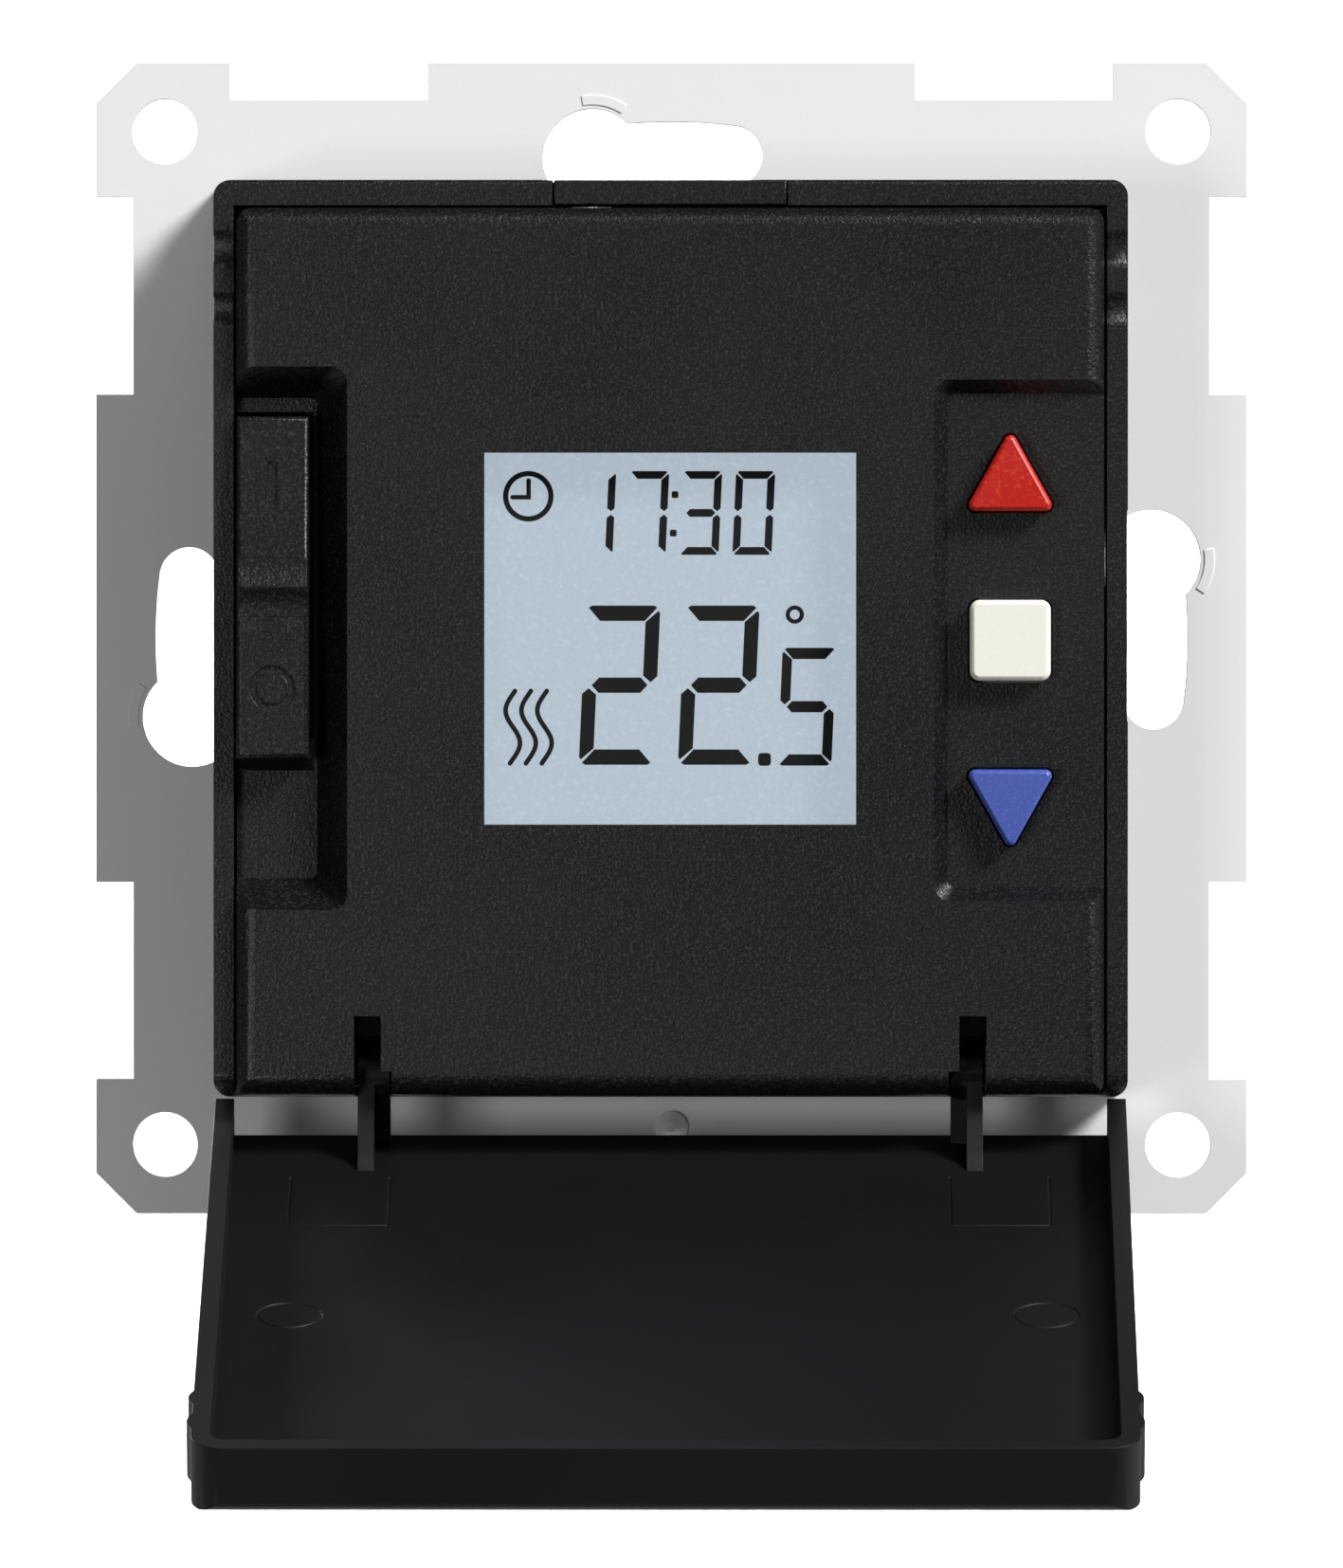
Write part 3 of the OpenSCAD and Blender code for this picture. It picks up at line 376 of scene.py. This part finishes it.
# Each finish: its maker and what the maker is given besides the name.
FINISHES = {
    "plate_white": (moulded, dict(
        dark=(0.705, 0.702, 0.695), light=(0.745, 0.742, 0.735), rough=(0.42, 0.55), grain=3500.0,
        depth=0.004, speckle=0.3, dust=0.0)),
    "housing_grey": (moulded, dict(
        dark=(0.50, 0.51, 0.50), light=(0.60, 0.61, 0.60), rough=(0.45, 0.6), grain=2800.0,
        depth=0.012, dust=0.05)),
    "black_textured": (moulded, dict(
        dark=(0.002, 0.002, 0.0021), light=(0.023, 0.023, 0.024), rough=(0.36, 0.42), grain=5000.0,
        depth=0.070, speckle=1.0, dust=0.0, patch_scale=60.0, specular=0.4)),
    "black_smooth": (moulded, dict(
        dark=(0.002, 0.002, 0.0021), light=(0.0045, 0.0045, 0.0047), rough=(0.50, 0.56), grain=4600.0,
        depth=0.010, speckle=0.6, dust=0.005, patch_scale=70.0, specular=0.32)),
    "button_red": (moulded, dict(
        dark=(0.42, 0.008, 0.004), light=(0.60, 0.045, 0.020), rough=(0.32, 0.42), grain=4200.0,
        depth=0.012, speckle=0.8, dust=0.0)),
    "button_white": (moulded, dict(
        dark=(0.76, 0.75, 0.67), light=(0.82, 0.81, 0.74), rough=(0.28, 0.38), grain=4200.0,
        depth=0.004, dust=0.0)),
    "button_blue": (moulded, dict(
        dark=(0.050, 0.082, 0.34), light=(0.085, 0.130, 0.44), rough=(0.32, 0.42), grain=5200.0,
        depth=0.010, speckle=0.8, dust=0.0)),
    "window_clear": (clear_window, dict()),
    # the display foil glows: painted light that keeps it evenly bright
    "lcd": (painted_glow_display, dict(dark=(0.455, 0.540, 0.620), light=(0.515, 0.600, 0.685))),
    "board_green": (moulded, dict(
        dark=(0.004, 0.07, 0.02), light=(0.01, 0.13, 0.04), rough=(0.25, 0.35), grain=900.0, depth=0.01)),
    "terminal_plastic": (moulded, dict(
        dark=(0.10, 0.105, 0.105), light=(0.16, 0.165, 0.165), rough=(0.4, 0.55), grain=2400.0,
        depth=0.015)),
    "relay_blue": (moulded, dict(
        dark=(0.01, 0.03, 0.14), light=(0.02, 0.05, 0.2), rough=(0.2, 0.3), grain=1500.0, depth=0.004)),
    "film_yellow": (moulded, dict(
        dark=(0.5, 0.28, 0.02), light=(0.62, 0.38, 0.05), rough=(0.2, 0.3), grain=1500.0, depth=0.004)),
    "capacitor_sleeve": (moulded, dict(
        dark=(0.01, 0.01, 0.014), light=(0.02, 0.02, 0.03), rough=(0.15, 0.3), grain=1500.0,
        depth=0.004)),
    "varistor_blue": (moulded, dict(
        dark=(0.01, 0.06, 0.2), light=(0.03, 0.1, 0.3), rough=(0.2, 0.35), grain=1200.0, depth=0.02)),
    "fuse_brown": (moulded, dict(
        dark=(0.04, 0.015, 0.006), light=(0.08, 0.03, 0.015), rough=(0.2, 0.3), grain=1500.0,
        depth=0.004)),
    "chip_black": (moulded, dict(
        dark=(0.012, 0.012, 0.012), light=(0.03, 0.03, 0.03), rough=(0.5, 0.65), grain=4000.0,
        depth=0.01)),
    "steel": (metal, dict(colour=(0.55, 0.55, 0.53), rough=0.3)),
    "brass": (metal, dict(colour=(0.68, 0.48, 0.18), rough=0.28)),
    "white_film": (moulded, dict(
        dark=(0.8, 0.8, 0.8), light=(0.88, 0.88, 0.88), rough=(0.5, 0.6), grain=2000.0, depth=0.002)),
    "guide_acrylic": (moulded, dict(
        dark=(0.7, 0.75, 0.78), light=(0.8, 0.84, 0.86), rough=(0.15, 0.25), grain=1200.0, depth=0.003)),
    "elastomer": (moulded, dict(
        dark=(0.3, 0.2, 0.25), light=(0.42, 0.3, 0.35), rough=(0.6, 0.7), grain=2500.0, depth=0.01)),
}
MATERIALS = {name: make(name, **given) for name, (make, given) in FINISHES.items()}


def dress(obj, slot):
    """Gives an object the material of its slot."""
    obj.data.materials.clear()
    obj.data.materials.append(MATERIALS[slot])


for node_name, node_object in NODES.items():
    dress(node_object, SLOT_OF[node_name])

# ---------------------------------------------------------------- softened shells
for shell, edge_mm in (("support_plate", 0.15), ("rear_housing", 0.25), ("front_frame", 0.10),
                       ("cover_latch", 0.10), ("front_cover", 0.12), ("door", 0.15), ("rocker", 0.12),
                       ("terminal_block", 0.12), ("relay", 0.3), ("button_up", 0.28), ("button_set", 0.28),
                       ("button_down", 0.28)):
    dress(softened(shell, edge_mm), SLOT_OF[shell])

# ---------------------------------------------------------------- display
DIGIT_SLANT = 0.045
SEGMENTS = {"0": "abcdef", "1": "bc", "2": "abged", "3": "abgcd", "5": "afgcd", "7": "abc"}


def digit(character, right, top, width, height, bar, post, gap=0.06):
    """Outlines of a seven-segment digit: bars with ends cut at 45 degrees, sheared to the right.

    right is the x of the outer right edge at the top line."""
    half = height / 2
    wide, b, p, g = width, bar, post, gap
    clip = 0.22 * b
    shapes = {
        "a": [(g + clip, 0), (wide - g - clip, 0), (wide - g, -clip * 0.6), (wide - g - b + clip, -b),
              (g + b - clip, -b), (g, -clip * 0.6)],
        "d": [(g + b - clip, b - height), (wide - g - b + clip, b - height), (wide - g, clip * 0.6 - height),
              (wide - g - clip, -height), (g + clip, -height), (g, clip * 0.6 - height)],
        "g": [(g + p * 0.45, -half), (g + p * 0.95, b / 2 - half), (wide - g - p * 0.95, b / 2 - half),
              (wide - g - p * 0.45, -half), (wide - g - p * 0.95, -b / 2 - half),
              (g + p * 0.95, -b / 2 - half)],
    }
    upright = [(wide, -g - clip * 1.4), (wide - clip * 0.5, -g - clip * 0.7), (wide - p, -g - p * 0.95),
               (wide - p, -half + g + b * 0.42), (wide - p * 0.45, -half + g), (wide, -half + g + b * 0.38)]
    shapes["b"] = upright
    shapes["f"] = [(wide - x, z) for x, z in upright][::-1]
    shapes["c"] = [(x, -height - z) for x, z in upright][::-1]
    shapes["e"] = [(wide - x, -height - z) for x, z in upright]
    placed = []
    for name in SEGMENTS[character]:
        outline = np.array(shapes[name]) + (right - wide, top)
        outline[:, 0] += DIGIT_SLANT * (outline[:, 1] - top)
        placed.append(outline)
    return placed


def display_marks():
    """Clock, time, temperature and heat waves, as thin dark plates on the glass.

    A heat wave is x = 0.44 sin(400 t - 198 degrees), z = -4.42 t, for t from 0 to 1."""
    outlines = []
    for i, character in enumerate("1730"):
        outlines += digit(character, 6.42 - 3.24 * (3 - i), 10.24, 2.40, 5.12, 0.48, 0.46, 0.10)
    outlines += digit("2", -0.60, 2.02, 4.56, 9.73, 0.94, 0.87, 0.18)
    outlines += digit("2", 5.46, 2.02, 4.56, 9.73, 0.94, 0.87, 0.18)
    outlines += digit("5", 10.17, -0.56, 3.30, 7.20, 0.69, 0.61, 0.13)
    outlines += [square_dot(0.29, 8.80, 0.42), square_dot(0.18, 6.45, 0.42), square_dot(5.76, -7.38, 0.79)]
    low, high = glass_front - 0.02, glass_front + 0.03
    turn = np.linspace(0, 2 * math.pi, 64, endpoint=False)
    circle = np.stack([np.cos(turn), np.sin(turn)], 1)
    parts = [plates([o + (display_x, display_z) for o in map(np.asarray, outlines)], low, high)]
    clock = np.array([-8.68, 8.70])
    lines = [(clock + 1.385 * circle, 0.325, True), (np.array([7.61, 1.47]) + 0.43 * circle, 0.26, True),
             (clock + np.array([(0.02, 0.96), (0.02, -0.06), (-0.96, -0.06)]), 0.28, False)]
    down = np.linspace(0, 1, 40)
    for i in range(3):
        sway = 0.44 * np.sin(np.radians(-198 + 400 * down))
        lines.append((np.stack([-9.63 + 0.97 * i + sway, -3.2 - 4.42 * down], 1), 0.29, False))
    for path, width, closed in lines:
        moved = np.asarray(path) + (display_x, display_z)
        parts.append(ribbon(moved, width, low, high, closed))
        if not closed:
            parts.append(plates([disc(*moved[0], width / 2 * 0.999), disc(*moved[-1], width / 2 * 0.999)],
                                low + 0.001, high - 0.001))
    return joined(parts)


def square_dot(x, z, size):
    """A square with well rounded corners: a superellipse of power four."""
    turn = np.linspace(0, 2 * math.pi, 32, endpoint=False)
    c, s = np.cos(turn), np.sin(turn)
    return np.stack([x + size / 2 * np.sign(c) * np.abs(c) ** 0.5,
                     z + size / 2 * np.sign(s) * np.abs(s) ** 0.5], 1)


marks = new_object("display_marks", *display_marks(), "lcd_glass", "lcd")
ink = moulded("display_ink", (0.006, 0.006, 0.006), (0.010, 0.010, 0.010), (0.5, 0.6), 2600.0, 0.001,
              dust=0.0, specular=0.2)
marks.data.materials.append(ink)


# ---------------------------------------------------------------- stage, light, camera
def plain(name, colour, rough):
    """One even colour, for the stage."""
    material = bpy.data.materials.new(name)
    material.use_nodes = True
    shader = material.node_tree.nodes["Principled BSDF"]
    shader.inputs["Base Color"].default_value = (*colour, 1)
    shader.inputs["Roughness"].default_value = rough
    return material


def stage_sheet():
    """A pale floor that turns up into a back wall: one profile carried along X.

    The bend is y = back - r + r sin(t), z = ground + r - r cos(t), for t from 0 to 90 degrees."""
    object_lo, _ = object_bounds()
    drop, front, back, top = 300, -90.0, 2900.0, 700.0      # the wall stands behind every view's camera
    radius, half_width = 300.0, 2600.0
    ground = object_lo[2] / MM - drop
    bend = np.linspace(0, math.pi / 2, 24)
    curve = np.stack([back - radius + radius * np.sin(bend), ground + radius - radius * np.cos(bend)], 1)
    profile = np.concatenate([[(front, ground)], curve, [(back, top)]])
    verts = [(x, y, z) for x in (-half_width, half_width) for y, z in profile]
    n = len(profile)
    faces = [(i, i + 1, n + i + 1, n + i) for i in range(n - 1)]
    mesh = bpy.data.meshes.new("stage")
    mesh.from_pydata((np.array(verts) * MM).tolist(), [], faces)
    obj = bpy.data.objects.new("stage", mesh)
    bpy.context.scene.collection.objects.link(obj)
    for polygon in mesh.polygons:
        polygon.use_smooth = True
    mesh.materials.append(plain("stage_white", (0.93, 0.93, 0.93), 0.9))


def area_light(name, place, target, size, power, size_y=None):
    """A soft rectangular light at a place in millimetres, facing a target."""
    light = bpy.data.lights.new(name, "AREA")
    light.shape = "RECTANGLE"
    light.size = size * MM
    light.size_y = (size_y or size) * MM
    light.energy = power
    obj = bpy.data.objects.new(name, light)
    bpy.context.scene.collection.objects.link(obj)
    start, end = np.array(place) * MM, np.array(target) * MM
    obj.location = start
    obj.rotation_mode = "QUATERNION"
    obj.rotation_quaternion = Vector(end - start).to_track_quat("-Z", "Y")


def camera():
    """A long lens on the plate's middle, a little right of it, tilted down to take in the open door."""
    data = bpy.data.cameras.new("camera")
    data.sensor_width = 36
    data.lens = 446.1
    data.clip_start, data.clip_end = 0.05, 20
    obj = bpy.data.objects.new("camera", data)
    bpy.context.scene.collection.objects.link(obj)
    place, aim = Vector((7, -1200, 2)) * MM, Vector((0, 0, -9)) * MM
    obj.location = place
    obj.rotation_mode = "QUATERNION"
    obj.rotation_quaternion = (aim - place).to_track_quat("-Z", "Y")
    bpy.context.scene.camera = obj


stage_sheet()
camera()
area_light("key", (1500, -1250, 1450), (0, 0, 0), 700, 101.0, 620)
area_light("left_fill", (-640, -1280, -120), (0, 0, 0), 380, 4.5)
area_light("top_fill", (260, -760, 1050), (0, 0, 0), 420, 1.0)
area_light("wall_wash", (0, 2480, 0), (0, 2900, 0), 500, 8.0)
area_light("back_fill", (-700, 1000, 500), (0, 0, 0), 400, 13.0)
world = bpy.data.worlds.new("studio")
world.use_nodes = True
world.node_tree.nodes["Background"].inputs["Color"].default_value = (1, 1, 1, 1)
world.node_tree.nodes["Background"].inputs["Strength"].default_value = 0.06
bpy.context.scene.world = world
bpy.context.scene.view_settings.view_transform = "Standard"
